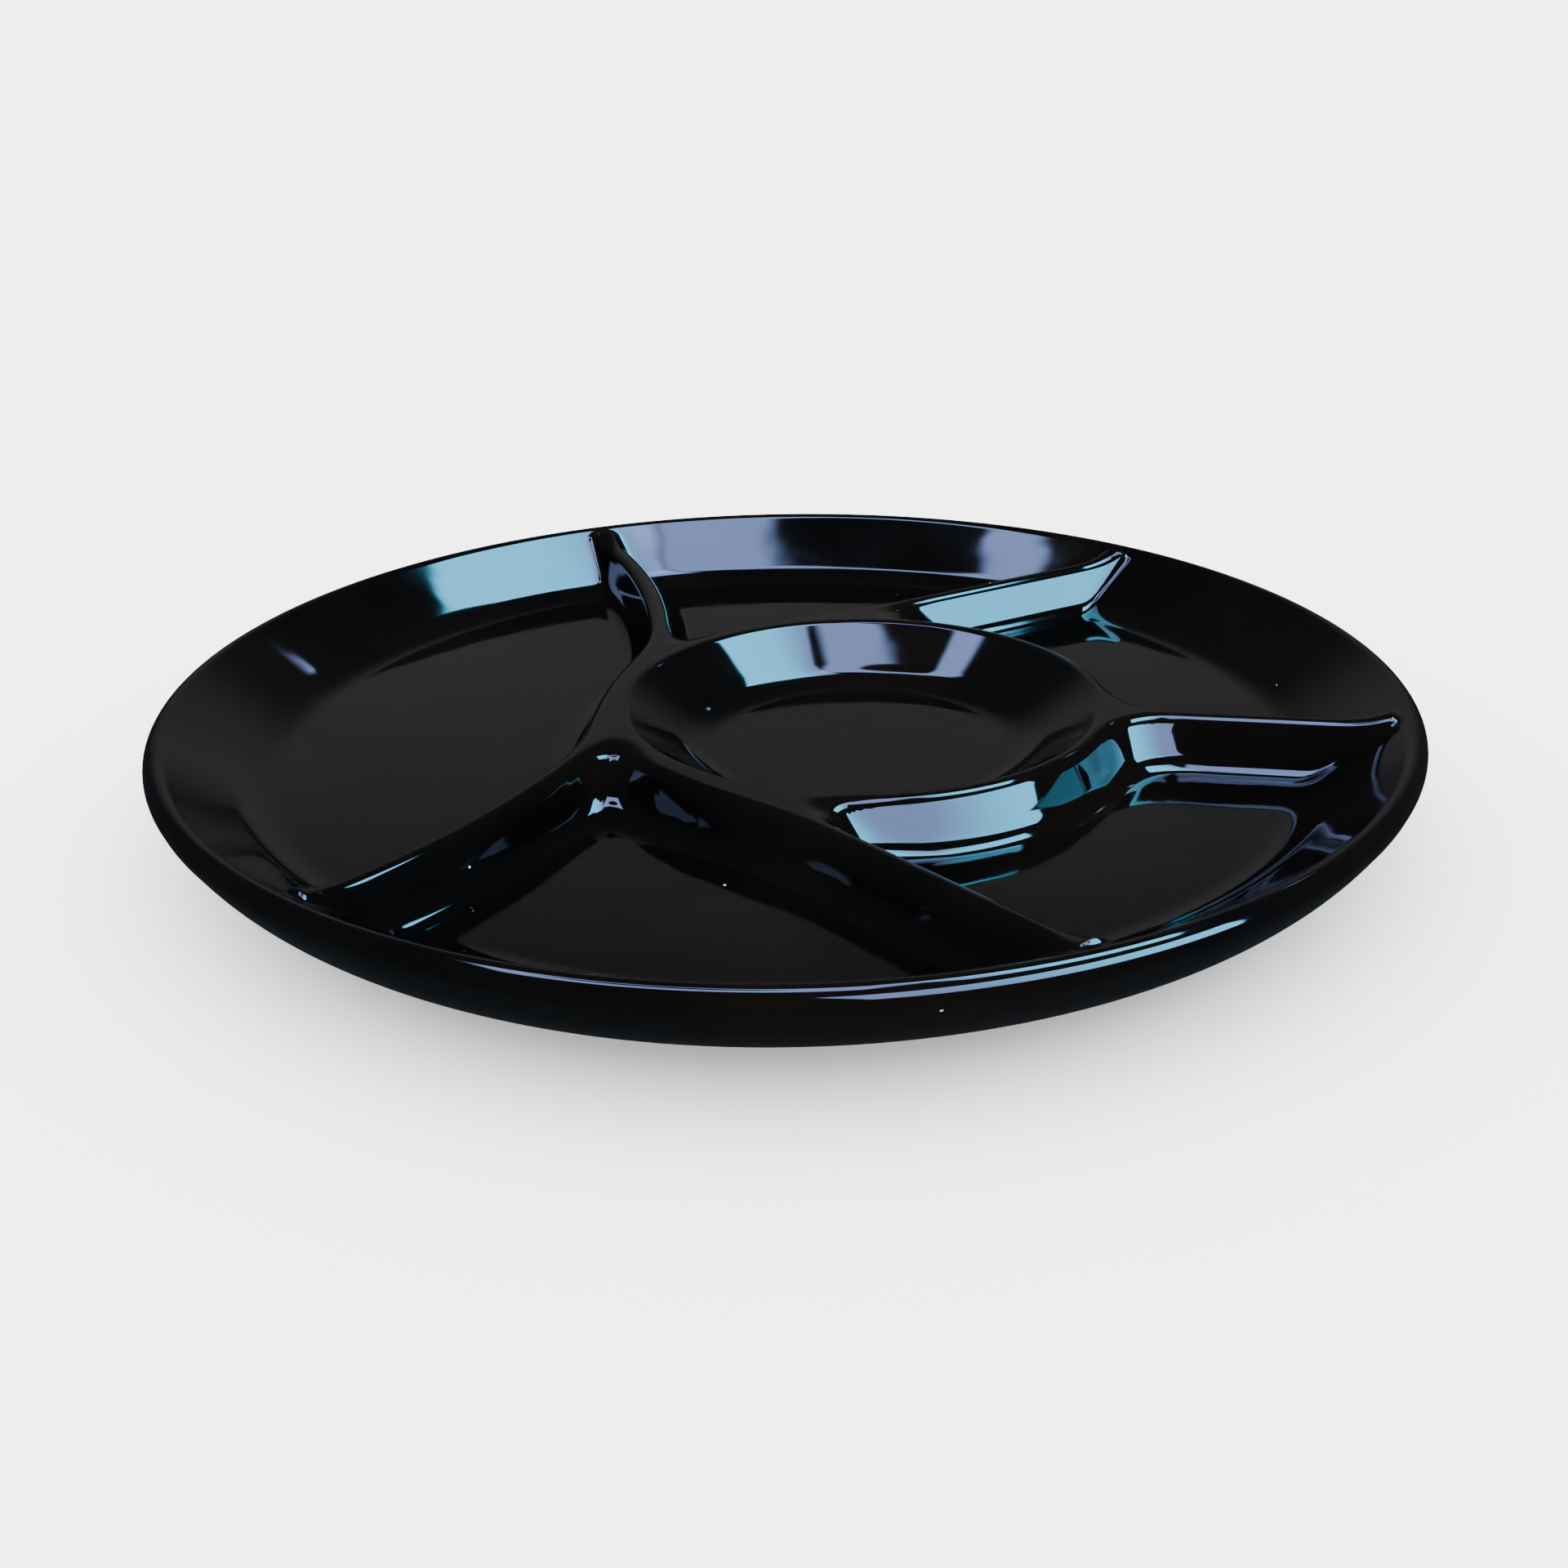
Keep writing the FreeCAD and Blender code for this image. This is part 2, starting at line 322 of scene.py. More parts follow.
def well_grid(first, last, s, collar, middle):
    """Plan grid of one well between two dividers, anticlockwise from the first to the last.

    A Coons patch: the blend of its two dividers, plus the blend of its arcs on the collar and on
    the lip, less the blend of its corners. Its lines crowd towards the dividers and the lip.
    """
    lip_line = PLATE_RADIUS - s.lip_radius
    a0, a1 = first.turn_about(BOWL_X, 0), last.turn_about(BOWL_X, 0)
    b0, b1 = first.turn_about(0, 1), last.turn_about(0, 1)
    a1 += 2 * math.pi * (a1 <= a0)
    b1 += 2 * math.pi * (b1 <= b0)
    beside = np.linspace(0, 1, BESIDE_STEPS)
    inner_side, outer_side = BESIDE_AT_COLLAR * beside, BESIDE_AT_LIP * beside
    inner = spaced(inner_side, middle, inner_side, (a1 - a0) * collar)
    outer = spaced(outer_side, middle, outer_side, (b1 - b0) * lip_line)
    rim = RIM_REACH * np.linspace(0, 1, RIM_STEPS) ** RIM_CROWDING
    v_first, v_last = (
        spaced(COLLAR_STEPS, FLOOR_STEPS, rim, divider.length) for divider in (first, last)
    )
    share = np.linspace(0, 1, len(inner))[:, None]
    v = v_first * (1 - share) + v_last * share
    u = inner[:, None] * (1 - v) + outer[:, None] * v
    low = circle(BOWL_X, collar, a0 + (a1 - a0) * u)
    high = circle(0, lip_line, b0 + (b1 - b0) * u)
    left = first.at(v.ravel()).reshape(v.shape + (2,))
    right = last.at(v.ravel()).reshape(v.shape + (2,))
    start, end = np.array(0.0), np.array(1.0)
    u, v = u[..., None], v[..., None]
    plan = (1 - v) * low + v * high + (1 - u) * left + u * right
    plan -= (1 - v) * ((1 - u) * first.at(start) + u * last.at(start))
    plan -= v * ((1 - u) * first.at(end) + u * last.at(end))
    return plan, a0 + (a1 - a0) * inner, b0 + (b1 - b0) * outer


def grid_faces(columns, rows, offset):
    """Corner numbers of the four-sided faces of a grid of points, facing up when laid out so."""
    number = offset + np.arange(columns * rows).reshape(columns, rows)
    return np.stack(
        [number[:-1, :-1], number[:-1, 1:], number[1:, 1:], number[1:, :-1]], -1
    ).reshape(-1, 4)


def mesh_from_patches(name, patches):
    """One closed mesh of several grids of (points, normals), welded where their edges meet.

    A face whose corners weld into one another loses them, so a pole ends in triangles.
    """
    points, normals, faces, offset = [], [], [], 0
    for grid, grid_normals in patches:
        columns, rows = grid.shape[:2]
        faces.append(grid_faces(columns, rows, offset))
        points.append(grid.reshape(-1, 3))
        normals.append(grid_normals.reshape(-1, 3))
        offset += columns * rows
    points, normals, faces = np.concatenate(points), np.concatenate(normals), np.concatenate(faces)
    _, first, same = np.unique(
        np.round(points / WELD).astype(np.int64), axis=0, return_index=True, return_inverse=True
    )
    points, normals, faces = points[first], normals[first], same.reshape(-1)[faces]
    kept = faces != np.roll(faces, -1, axis=1)
    sides = kept.sum(1)
    quads = faces[sides == 4]
    triangles = faces[sides == 3][kept[sides == 3]].reshape(-1, 3)
    mesh = bpy.data.meshes.new(name)
    mesh.vertices.add(len(points))
    mesh.vertices.foreach_set("co", points.astype(np.float32).ravel())
    corners = np.concatenate([quads.ravel(), triangles.ravel()]).astype(np.int32)
    totals = np.concatenate([np.full(len(quads), 4), np.full(len(triangles), 3)]).astype(np.int32)
    mesh.loops.add(len(corners))
    mesh.loops.foreach_set("vertex_index", corners)
    mesh.polygons.add(len(totals))
    starts = np.concatenate([[0], np.cumsum(totals)[:-1]]).astype(np.int32)
    mesh.polygons.foreach_set("loop_start", starts)
    mesh.polygons.foreach_set("loop_total", totals)
    mesh.update(calc_edges=True)
    mesh.validate()
    mesh.shade_smooth()
    normals = normals / np.linalg.norm(normals, axis=1, keepdims=True)
    mesh.normals_split_custom_set_from_vertices(normals)
    return mesh


def new_piece(name, mesh, material, nodes):
    """Put a finished mesh in the scene as a piece that stands for some nodes of the frame."""
    piece = bpy.data.objects.new(name, mesh)
    bpy.context.scene.collection.objects.link(piece)
    mesh.materials.append(material)
    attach(piece, "root")
    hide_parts(*nodes)


def turned(section, turns):
    """A section of (radius, height, outward, upward) rows turned about the upright axis."""
    radius, height, outward, upward = section.T
    cos, sin = np.cos(turns)[:, None], np.sin(turns)[:, None]
    points = np.stack([radius * cos, radius * sin, height + 0 * cos], -1)
    normals = np.stack([outward * cos, outward * sin, upward + 0 * cos], -1)
    return points, normals


def arc_section(centre, radius, start, end, count):
    """Rows of an arc of a section, whose normals point away from its centre."""
    turn = np.linspace(start, end, count)
    cos, sin = np.cos(turn), np.sin(turn)
    return np.stack([centre[0] + radius * cos, centre[1] + radius * sin, cos, sin], -1)


def outside_section(s):
    """From the top of the lip, round the outside and in under the base to the plate's middle.

    The lip is a half circle. The outer wall is an arc tangent to it that starts a little way out
    from the foot. A fine line stands proud of the wall under the lip, as a narrow bell curve.
    """
    lip = np.array([PLATE_RADIUS - s.lip_radius, PLATE_HEIGHT - s.lip_radius])
    start = np.array([FOOT_RADIUS + s.foot_gap, BASE_LEVEL])
    gap = math.dist(start, lip)
    other = s.wall_bulge - s.lip_radius
    along = (gap**2 + s.wall_bulge**2 - other**2) / (2 * gap)
    aside = math.sqrt(s.wall_bulge**2 - along**2)
    unit = (lip - start) / gap
    bulge = start + along * unit + aside * np.array([-unit[1], unit[0]])
    join = math.atan2(lip[1] - bulge[1], lip[0] - bulge[0])
    low = math.atan2(start[1] - bulge[1], start[0] - bulge[0])
    line_at = join - s.mould_drop / s.wall_bulge
    line_end = join - 2 * s.mould_drop / s.wall_bulge
    over = arc_section(lip, s.lip_radius, math.pi / 2, join, LIP_POINTS)
    near = arc_section(bulge, s.wall_bulge, join, line_end, LINE_POINTS)[1:]
    down = arc_section(bulge, s.wall_bulge, line_end, low, WALL_POINTS)[1:]
    turn = np.linspace(join, line_end, LINE_POINTS)[1:]
    run = (line_at - turn) * s.wall_bulge / s.mould_width
    proud = s.mould_line * np.exp(-(run**2))
    rise = -2 * run * proud / s.mould_width
    tangent = np.stack([near[:, 3], -near[:, 2]], -1)
    near[:, :2] += proud[:, None] * near[:, 2:]
    near[:, 2:] -= rise[:, None] * tangent
    under = np.linspace(start[0], 0, BASE_POINTS)[1:]
    flat = np.stack([under, BASE_LEVEL + 0 * under, 0 * under, -1 + 0 * under], -1)
    return np.concatenate([over, near, down, flat])


def foot_section(s):
    """The bare foot ring: a square bar with rounded edges, let a little way into the base."""
    edge, hidden_edge = s.foot_edge, 0.1 * MM
    top = BASE_LEVEL + GLAZE / 2
    inner, outer = FOOT_BORE, FOOT_RADIUS
    quarter = math.pi / 2
    upper_outer = (outer - hidden_edge, top - hidden_edge)
    upper_inner = (inner + hidden_edge, top - hidden_edge)
    rows = [
        arc_section(upper_outer, hidden_edge, quarter, 0, HIDDEN_POINTS),
        arc_section((outer - edge, edge), edge, 0, -quarter, EDGE_POINTS),
        arc_section((inner + edge, edge), edge, -quarter, -2 * quarter, EDGE_POINTS),
        arc_section(upper_inner, hidden_edge, 2 * quarter, quarter, HIDDEN_POINTS),
    ]
    rows.append(rows[0][:1])
    return np.concatenate(rows)


def top_patches(s):
    """The bowl and its collar as a disc of rings, and five wells, with the turns at the lip."""
    collar = s.bowl_radius + collar_width(s)
    slant_back, slant_front = (Divider(s, "slant", side, collar) for side in (1, -1))
    arc_back, arc_front = (Divider(s, "arc", side, collar) for side in (1, -1))
    axial = Divider(s, "axial", 1, collar)
    ring = [
        (axial, AXIAL_LINES),
        (slant_back, SLANT_LINES),
        (arc_back, ARC_LINES),
        (arc_front, SLANT_LINES),
        (slant_front, AXIAL_LINES),
    ]
    patches, collar_turns, lip_turns = [], [], []
    for (first, middle), (last, _) in zip(ring, ring[1:] + ring[:1]):
        plan, inner, outer = well_grid(first, last, s, collar, middle)
        patches.append(top_points(plan[..., 0], plan[..., 1], s))
        collar_turns.append(inner)
        lip_turns.append(outer)
    turns = np.concatenate(collar_turns)
    floor_edge, crest_edge = s.bowl_radius / 2, s.bowl_radius - CREST_BAND
    radius = np.concatenate(
        [
            np.linspace(0, floor_edge, FLOOR_RINGS)[:-1],
            np.linspace(floor_edge, crest_edge, WALL_RINGS)[:-1],
            np.linspace(crest_edge, collar, CREST_RINGS),
        ]
    )
    x = BOWL_X + radius * np.cos(turns)[:, None]
    y = radius * np.sin(turns)[:, None]
    patches.append(top_points(x, y, s))
    return patches, np.concatenate(lip_turns)


def collar_width(s):
    """From the bowl's crest out past the flare of its wall, with a little to spare."""
    spare = 1 * MM
    top = PLATE_HEIGHT - FLOOR_LEVEL - s.crest_drop
    fall = top - s.crest_radius - s.flare
    return (s.crest_radius + s.flare) / math.cos(s.draft) + fall * math.tan(s.draft) + spare


# ---------------------------------------------------------------- materials

GLAZE_IOR = 1.55
SMEAR_ROUGHER = 2.2
DUSTY_CELLS = 0.16
CLAY_SHADE, FLOOR_SHADE = 0.72, 0.985
SPOT_ROUGHNESS, SPOT_STRENGTH, SPOT_DEPTH = 0.5, 0.3, 0.04 * MM
RIPPLE_DEPTH = 0.6 * MM
GRIT_STRENGTH, GRIT_DEPTH = 0.35, 0.2 * MM
IRON = (0.09, 0.06, 0.045)
WHITE, DARK = (1.0, 1.0, 1.0), (0.004, 0.005, 0.006)

def new_group(name, inputs, outputs):
    group = bpy.data.node_groups.new(name, "ShaderNodeTree")
    for label, kind, default in inputs:
        socket = group.interface.new_socket(label, in_out="INPUT", socket_type=kind)
        if default is not None:
            socket.default_value = default
    for label, kind in outputs:
        group.interface.new_socket(label, in_out="OUTPUT", socket_type=kind)
    source = group.nodes.new("NodeGroupInput")
    target = group.nodes.new("NodeGroupOutput")
    return group, source, target


def add(tree, kind, **values):
    node = tree.nodes.new(kind)
    for key, value in values.items():
        setattr(node, key, value)
    return node


def noise(tree, place, scale, detail, roughness=0.5):
    node = add(tree, "ShaderNodeTexNoise")
    tree.links.new(place, node.inputs["Vector"])
    node.inputs["Scale"].default_value = scale
    node.inputs["Detail"].default_value = detail
    node.inputs["Roughness"].default_value = roughness
    return node.outputs["Fac"]


def ranged(tree, value, low, high, to_low=0.0, to_high=1.0):
    """Value moved from one range to another along an S curve, and held at its ends."""
    node = add(tree, "ShaderNodeMapRange", interpolation_type="SMOOTHSTEP")
    tree.links.new(value, node.inputs["Value"])
    ends = {"From Min": low, "From Max": high, "To Min": to_low, "To Max": to_high}
    for label, number in ends.items():
        node.inputs[label].default_value = number
    return node.outputs["Result"]


def maths(tree, operation, a, b):
    node = add(tree, "ShaderNodeMath", operation=operation)
    for socket, value in zip(node.inputs, (a, b)):
        if isinstance(value, bpy.types.NodeSocket):
            tree.links.new(value, socket)
        else:
            socket.default_value = value
    return node.outputs[0]


def speck_group():
    """Round specks scattered over a surface: a mask that is 1 in a speck and 0 between them."""
    group, source, target = new_group(
        "Specks",
        [
            ("Vector", "NodeSocketVector", None),
            ("Scale", "NodeSocketFloat", 100.0),
            ("Share", "NodeSocketFloat", 0.5),
            ("Size", "NodeSocketFloat", 0.1),
        ],
        [("Mask", "NodeSocketFloat")],
    )
    cells = add(group, "ShaderNodeTexVoronoi", feature="F1")
    group.links.new(source.outputs["Vector"], cells.inputs["Vector"])
    group.links.new(source.outputs["Scale"], cells.inputs["Scale"])
    split = add(group, "ShaderNodeSeparateColor")
    group.links.new(cells.outputs["Color"], split.inputs["Color"])
    chosen = maths(group, "LESS_THAN", split.outputs["Red"], source.outputs["Share"])
    size = maths(group, "MULTIPLY", split.outputs["Green"], source.outputs["Size"])
    inside = maths(group, "LESS_THAN", cells.outputs["Distance"], size)
    group.links.new(maths(group, "MULTIPLY", chosen, inside), target.inputs["Mask"])
    return group


def ripple_group():
    """Slow unevenness of a poured surface, as a height."""
    group, source, target = new_group(
        "Ripple",
        [("Vector", "NodeSocketVector", None), ("Scale", "NodeSocketFloat", 30.0)],
        [("Height", "NodeSocketFloat")],
    )
    node = add(group, "ShaderNodeTexNoise")
    group.links.new(source.outputs["Vector"], node.inputs["Vector"])
    group.links.new(source.outputs["Scale"], node.inputs["Scale"])
    node.inputs["Detail"].default_value = 2.0
    group.links.new(node.outputs["Fac"], target.inputs["Height"])
    return group


def place_group(tree, group, place, **values):
    node = add(tree, "ShaderNodeGroup", node_tree=group)
    tree.links.new(place, node.inputs["Vector"])
    for label, value in values.items():
        node.inputs[label].default_value = value
    return node.outputs[0]


def new_material(name):
    material = bpy.data.materials.new(name)
    material.use_nodes = True
    tree = material.node_tree
    shader = tree.nodes["Principled BSDF"]
    place = add(tree, "ShaderNodeTexCoord").outputs["Object"]
    return material, tree, shader, place


def mixed(tree, factor, a, b):
    """Colour that goes from a to b with a factor; either may be a socket or a colour."""
    node = add(tree, "ShaderNodeMix", data_type="RGBA")
    tree.links.new(factor, node.inputs["Factor"])
    colours = [i for i in node.inputs if i.type == "RGBA"]
    for socket, value in zip(colours, (a, b)):
        if isinstance(value, bpy.types.NodeSocket):
            tree.links.new(value, socket)
        else:
            socket.default_value = (*value, 1)
    return next(o for o in node.outputs if o.type == "RGBA")


def bump(tree, shader, height, strength, distance, before=None):
    """Relief of a height on a shader, laid over the normal of an earlier relief."""
    node = add(tree, "ShaderNodeBump")
    node.inputs["Strength"].default_value = strength
    node.inputs["Distance"].default_value = distance
    tree.links.new(height, node.inputs["Height"])
    if before is not None:
        tree.links.new(before, node.inputs["Normal"])
    tree.links.new(node.outputs["Normal"], shader.inputs["Normal"])
    return node.outputs["Normal"]


def glaze_material(look, specks, ripple):
    """Black glaze: near-black, a little browner where thin, gloss, with faint ripple and dust."""
    material, tree, shader, place = new_material("black_glaze")
    cloud = ranged(tree, noise(tree, place, scale=22.0, detail=4.0), low=0.42, high=0.7)
    dust = place_group(tree, specks, place, Scale=140.0, Share=DUSTY_CELLS * look.dust, Size=0.07)
    pits = place_group(tree, specks, place, Scale=90.0, Share=0.10, Size=0.05)
    body = mixed(tree, cloud, look.black, look.thin)
    tree.links.new(mixed(tree, dust, body, look.dust_colour), shader.inputs["Base Color"])
    blotches = noise(tree, place, scale=60.0, detail=5.0)
    rougher = look.roughness * SMEAR_ROUGHER
    smear = ranged(tree, blotches, low=0.35, high=0.75, to_low=look.roughness, to_high=rougher)
    spotted = maths(tree, "MAXIMUM", dust, pits)
    rough_spots = maths(tree, "MULTIPLY", spotted, SPOT_ROUGHNESS)
    tree.links.new(maths(tree, "MAXIMUM", smear, rough_spots), shader.inputs["Roughness"])
    waves = place_group(tree, ripple, place, Scale=38.0)
    before = bump(tree, shader, waves, look.ripple, RIPPLE_DEPTH)
    bump(tree, shader, spotted, SPOT_STRENGTH, SPOT_DEPTH, before)
    shader.inputs["IOR"].default_value = GLAZE_IOR
    return material


def clay_material(look, specks):
    """Bare stoneware: warm buff, matt, with dark iron specks and a fine grit."""
    material, tree, shader, place = new_material("bare_stoneware")
    patches = noise(tree, place, scale=80.0, detail=6.0, roughness=0.6)
    cloud = ranged(tree, patches, low=0.35, high=0.7)
    iron = place_group(tree, specks, place, Scale=700.0, Share=0.12, Size=0.35)
    darker = tuple(CLAY_SHADE * c for c in look.clay)
    body = mixed(tree, cloud, look.clay, darker)
    tree.links.new(mixed(tree, iron, body, IRON), shader.inputs["Base Color"])
    matt = ranged(tree, cloud, low=0.0, high=1.0, to_low=0.72, to_high=0.9)
    tree.links.new(matt, shader.inputs["Roughness"])
    grit = noise(tree, place, scale=1800.0, detail=4.0, roughness=0.7)
    bump(tree, shader, grit, GRIT_STRENGTH, GRIT_DEPTH)
    return material


def floor_material(look):
    """Pale matt studio floor with a very faint mottle."""
    material, tree, shader, place = new_material("studio_floor")
    cloud = noise(tree, place, scale=1.5, detail=2.0)
    darker = tuple(FLOOR_SHADE * c for c in look.floor)
    tree.links.new(mixed(tree, cloud, look.floor, darker), shader.inputs["Base Color"])
    shader.inputs["Roughness"].default_value = 0.9
    shader.inputs["Specular IOR Level"].default_value = 0.1
    return material


def shared_group(name, build):
    """The shader group of a name, built on its first use."""
    return bpy.data.node_groups.get(name) or build()


# ---------------------------------------------------------------- operators


class PLATE_OT_glazed_plate(bpy.types.Operator):
    """Make the glazed plate, one closed skin over the top, the outside and the base"""

    bl_idname = "plate.glazed_plate"
    bl_label = "Glazed plate"

    def execute(self, context):
        shape, look = context.scene.plate_shape, context.scene.plate_glaze
        patches, lip_turns = top_patches(shape)
        patches.append(turned(outside_section(shape), lip_turns))
        mesh = mesh_from_patches("glazed_plate", patches)
        groups = shared_group("Specks", speck_group), shared_group("Ripple", ripple_group)
        new_piece("glazed_plate", mesh, glaze_material(look, *groups), PLATE_NODES)
        return {"FINISHED"}


class PLATE_OT_foot_ring(bpy.types.Operator):
    """Make the bare foot ring that the plate stands on"""

    bl_idname = "plate.foot_ring"
    bl_label = "Bare foot ring"

    def execute(self, context):
        shape, look = context.scene.plate_shape, context.scene.plate_glaze
        turns = np.linspace(0, 2 * math.pi, FOOT_TURNS)
        mesh = mesh_from_patches("bare_foot", [turned(foot_section(shape), turns)])
        material = clay_material(look, shared_group("Specks", speck_group))
        new_piece("bare_foot", mesh, material, ["foot_ring"])
        return {"FINISHED"}


# ---------------------------------------------------------------- stage


def facing(azimuth, elevation, distance):
    """Place at a distance in a direction from the plate, turned to face it, with its up towards Z."""
    a, e = math.radians(azimuth), math.radians(elevation)
    way = Vector((math.cos(a) * math.cos(e), math.sin(a) * math.cos(e), math.sin(e)))
    turn = way.to_track_quat("Z", "Y").to_matrix().to_4x4()
    return Matrix.Translation(Vector((0, 0, PLATE_HEIGHT)) + distance * way) @ turn


def overhead(along, across, height, turn):
    """Level place above the plate; along and across are in units of the height, in turned axes."""
    turning = Matrix.Rotation(math.radians(turn), 4, "Z")
    offset = turning @ Vector((along * height, across * height, 0))
    return Matrix.Translation(offset + Vector((0, 0, height))) @ turning


OVAL_EDGE = (0.8, 1.25)
CARD_CORNERS = ((-0.5, -0.5, 0), (0.5, -0.5, 0), (0.5, 0.5, 0), (-0.5, 0.5, 0))


def card_glow(tree, across, upward, soft, oval):
    """Brightness over a card: 1 inside, fading at its edges and dark in its oval."""
    inside, outside = 0.5 - soft, 0.5
    glow = ranged(tree, across, -outside, -inside)
    for value, dark, bright in (
        (across, outside, inside),
        (upward, -outside, -inside),
        (upward, outside, inside),
    ):
        glow = maths(tree, "MULTIPLY", glow, ranged(tree, value, dark, bright))
    if oval is None:
        return glow
    centre_across, centre_up, half_width, half_height = oval
    a = maths(tree, "DIVIDE", maths(tree, "SUBTRACT", across, centre_across), half_width)
    b = maths(tree, "DIVIDE", maths(tree, "SUBTRACT", upward, centre_up), half_height)
    out = maths(tree, "ADD", maths(tree, "MULTIPLY", a, a), maths(tree, "MULTIPLY", b, b))
    return maths(tree, "MULTIPLY", glow, ranged(tree, out, *OVAL_EDGE))


def card_material(name, tints, shade, brightness, soft, oval):
    """Glow of a card, added to what is seen through it."""
    material = bpy.data.materials.new(name)
    material.use_nodes = True
    tree = material.node_tree
    tree.nodes.clear()
    split = add(tree, "ShaderNodeSeparateXYZ")
    tree.links.new(add(tree, "ShaderNodeTexCoord").outputs["Object"], split.inputs["Vector"])
    across, upward = split.outputs["X"], split.outputs["Y"]
    glow = card_glow(tree, across, upward, soft, oval)
    light = add(tree, "ShaderNodeEmission")
    tree.links.new(mixed(tree, ranged(tree, across, *shade), *tints), light.inputs["Color"])
    tree.links.new(maths(tree, "MULTIPLY", glow, brightness), light.inputs["Strength"])
    both = add(tree, "ShaderNodeAddShader")
    tree.links.new(light.outputs["Emission"], both.inputs[0])
    tree.links.new(add(tree, "ShaderNodeBsdfTransparent").outputs["BSDF"], both.inputs[1])
    surface = add(tree, "ShaderNodeOutputMaterial").inputs["Surface"]
    tree.links.new(both.outputs["Shader"], surface)
    return material


def card(name, place, width, height, tints, brightness, shade=(-0.5, 0.5), soft=0.02, oval=None):
    """Glowing card that is seen only in the gloss.

    Its tint goes from the first to the second across its width, between the two places of shade.
    Its edges fade over a share soft of its size, and an oval (across, up, half width, half height)
    leaves a dark middle. Places on the card run from -0.5 to 0.5 both ways.
    """
    mesh = bpy.data.meshes.new(name)
    mesh.from_pydata(CARD_CORNERS, [], [(0, 1, 2, 3)])
    mesh.materials.append(card_material(name, tints, shade, brightness, soft, oval))
    piece = bpy.data.objects.new(name, mesh)
    piece.matrix_world = place @ Matrix.Diagonal((width, height, 1, 1))
    bpy.context.scene.collection.objects.link(piece)
    piece.visible_camera = piece.visible_diffuse = piece.visible_shadow = False


def make_cards(look):
    """A low window to the right, a skylight in two parts, a side window and the dim room."""
    card(
        "low_window",
        facing(azimuth=-36, elevation=25, distance=4.0),
        width=5.2,
        height=2.6,
        tints=(look.cool, look.window),
        brightness=look.glow,
        shade=(-0.3, 0.3),
    )
    card(
        "skylight",
        overhead(along=0.46, across=-0.055, height=3.0, turn=40),
        width=1.56,
        height=1.35,
        tints=(look.cool, look.window),
        brightness=look.glow,
        shade=(-0.5, -0.08),
        soft=0.05,
    )
    card(
        "far_skylight",
        overhead(along=-0.175, across=-0.015, height=3.0, turn=0),
        width=2.25,
        height=1.41,
        tints=(look.cool, look.cool),
        brightness=look.glow,
        soft=0.06,
        oval=(-0.033, 0.16, 0.267, 0.19),
    )
    card(
        "side_window",
        facing(azimuth=70, elevation=36, distance=3.0),
        width=0.3,
        height=0.1,
        tints=(DARK, look.cool),
        brightness=look.glow,
        soft=0.4,
    )
    card(
        "room",
        facing(azimuth=100, elevation=18, distance=4.0),
        width=6.2,
        height=2.6,
        tints=(look.room, look.room),
        brightness=look.room_glow,
        soft=0.4,
    )


def make_world(look):
    """Even white light from all round, of which the gloss shows almost nothing."""
    world = bpy.data.worlds.new("studio")
    world.use_nodes = True
    tree = world.node_tree
    background = tree.nodes["Background"]
    path = add(tree, "ShaderNodeLightPath")
    light = mixed(tree, path.outputs["Is Glossy Ray"], WHITE, DARK)
    tree.links.new(light, background.inputs["Color"])
    background.inputs["Strength"].default_value = look.ambient
    bpy.context.scene.world = world


def make_camera(look):
    """Camera on a sphere about the middle of the lip's plane, turned towards it and rolled."""
    data = bpy.data.cameras.new("camera")
    data.lens = look.focal
    data.sensor_width = 36
    data.shift_y = look.rise
    data.clip_start = 0.01
    camera = bpy.data.objects.new("camera", data)
    bpy.context.scene.collection.objects.link(camera)
    a, e = look.azimuth, look.elevation
    back = Vector((math.sin(a) * math.cos(e), -math.cos(a) * math.cos(e), math.sin(e)))
    turn = back.to_track_quat("Z", "Y").to_matrix().to_4x4() @ Matrix.Rotation(look.roll, 4, "Z")
    middle = Vector((0, 0, PLATE_HEIGHT))
    camera.matrix_world = Matrix.Translation(middle + look.distance * back) @ turn
    bpy.context.scene.camera = camera


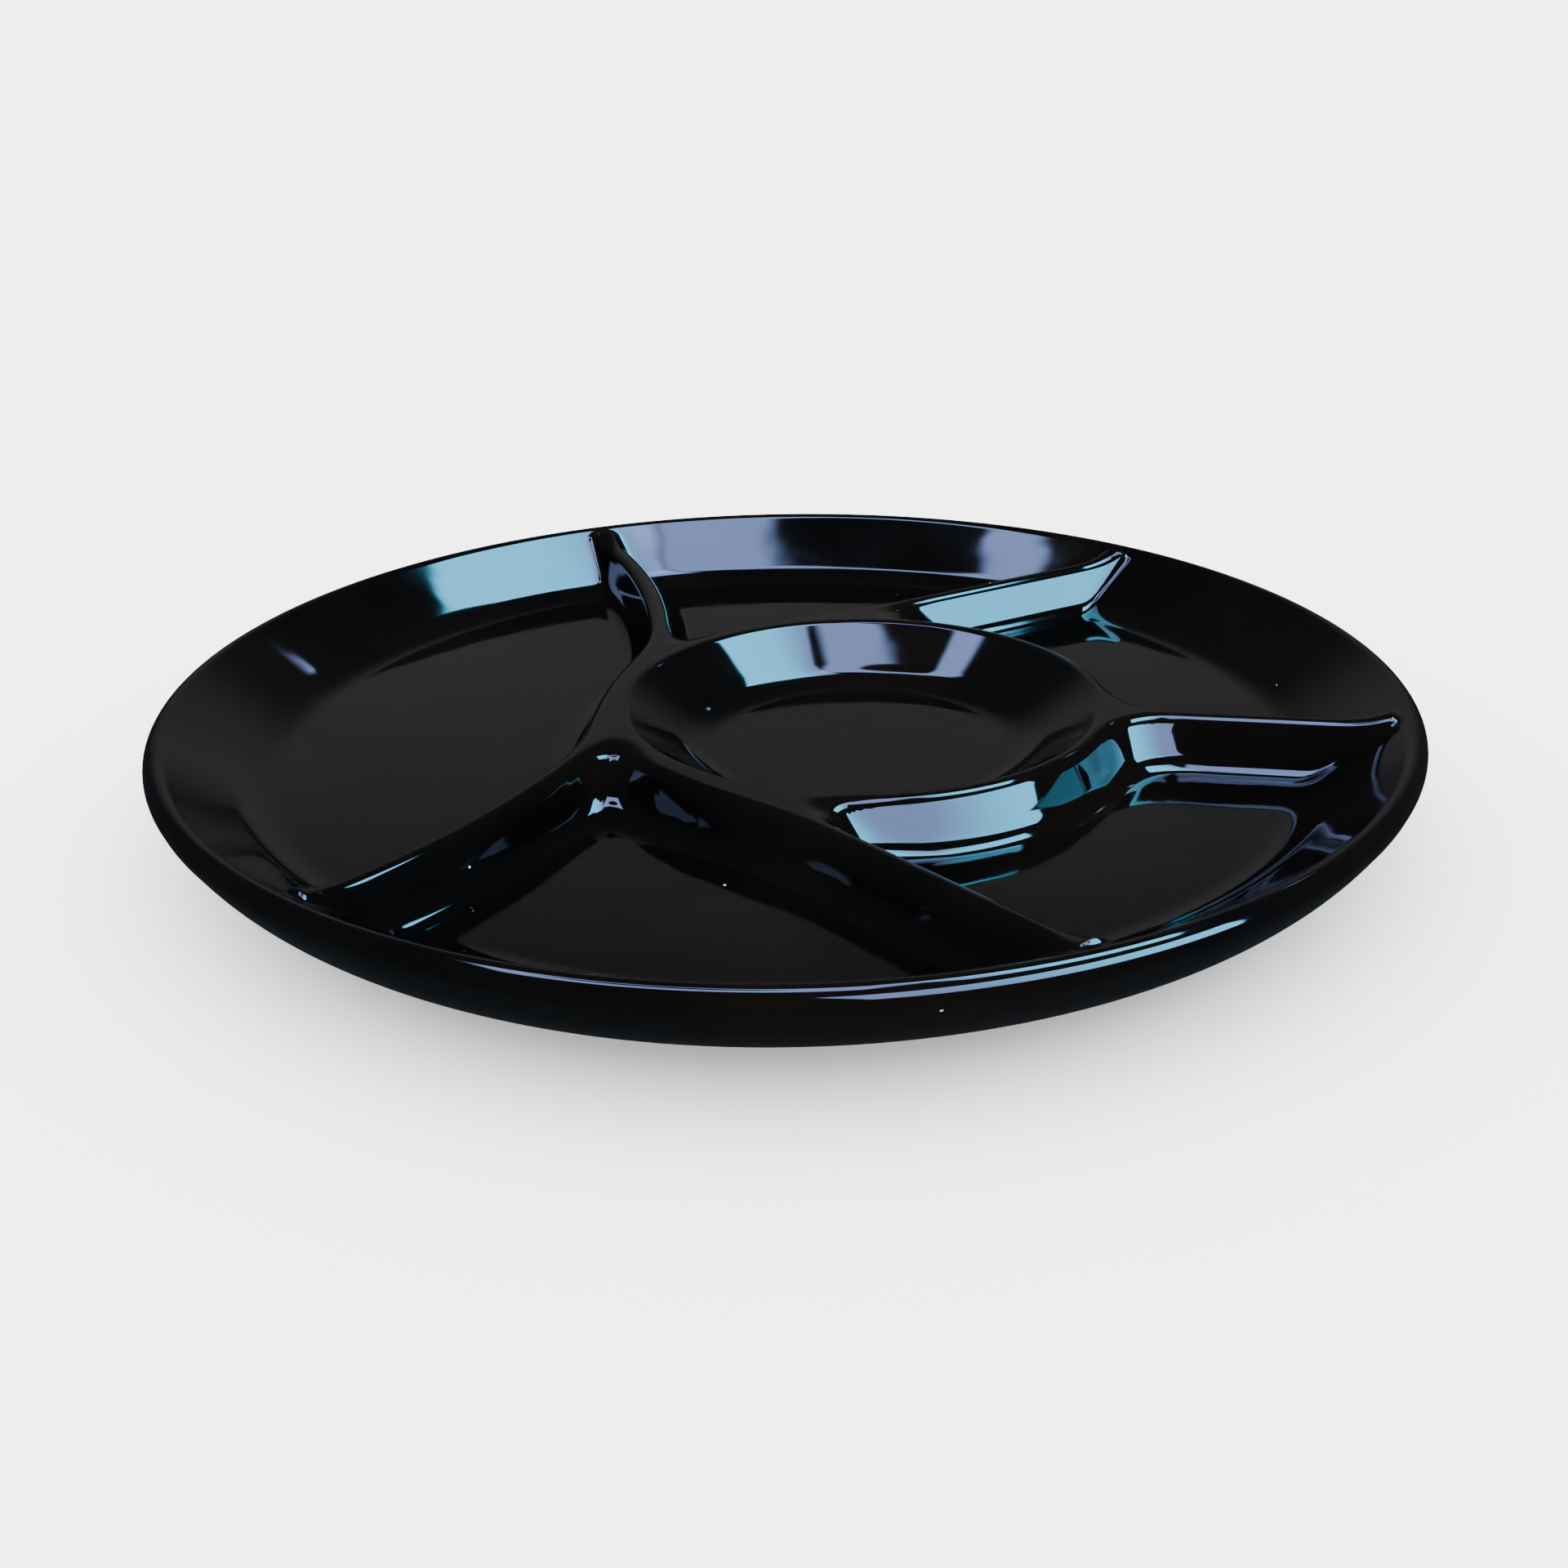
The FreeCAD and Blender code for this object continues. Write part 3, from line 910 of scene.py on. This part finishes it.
def make_floor(look):
    """Flat floor at the foot's level that the gloss doesn't mirror."""
    half = look.floor_size / 2
    mesh = bpy.data.meshes.new("floor")
    corners = [(-half, -half, 0), (half, -half, 0), (half, half, 0), (-half, half, 0)]
    mesh.from_pydata(corners, [], [(0, 1, 2, 3)])
    mesh.materials.append(floor_material(look))
    floor = bpy.data.objects.new("floor", mesh)
    bpy.context.scene.collection.objects.link(floor)
    floor.visible_glossy = False


class PLATE_OT_stage(bpy.types.Operator):
    """Make the floor, the lights and the camera"""

    bl_idname = "plate.stage"
    bl_label = "Studio stage"

    def execute(self, context):
        look = context.scene.plate_stage
        make_floor(look)
        make_world(look)
        make_cards(look)
        make_camera(look)
        return {"FINISHED"}


class PLATE_PT_panel(bpy.types.Panel):
    """Sidebar panel with the plate's sizes, colours and operators"""

    bl_idname = "PLATE_PT_panel"
    bl_label = "Divided plate"
    bl_space_type = "VIEW_3D"
    bl_region_type = "UI"
    bl_category = "Plate"

    def draw(self, context):
        layout = self.layout
        scene = context.scene
        for group in (scene.plate_shape, scene.plate_glaze, scene.plate_stage):
            box = layout.box()
            for key in group.__annotations__:
                box.prop(group, key)
        for operator in OPERATORS:
            layout.operator(operator.bl_idname)


OPERATORS = (PLATE_OT_glazed_plate, PLATE_OT_foot_ring, PLATE_OT_stage)
CLASSES = (PlateShape, GlazeLook, StageLook, *OPERATORS, PLATE_PT_panel)


def register():
    for item in CLASSES:
        bpy.utils.register_class(item)
    bpy.types.Scene.plate_shape = bpy.props.PointerProperty(type=PlateShape)
    bpy.types.Scene.plate_glaze = bpy.props.PointerProperty(type=GlazeLook)
    bpy.types.Scene.plate_stage = bpy.props.PointerProperty(type=StageLook)


def unregister():
    del bpy.types.Scene.plate_stage
    del bpy.types.Scene.plate_glaze
    del bpy.types.Scene.plate_shape
    for item in reversed(CLASSES):
        bpy.utils.unregister_class(item)


def main():
    register()
    bpy.ops.plate.glazed_plate()
    bpy.ops.plate.foot_ring()
    bpy.ops.plate.stage()


if __name__ == "__main__":
    main()
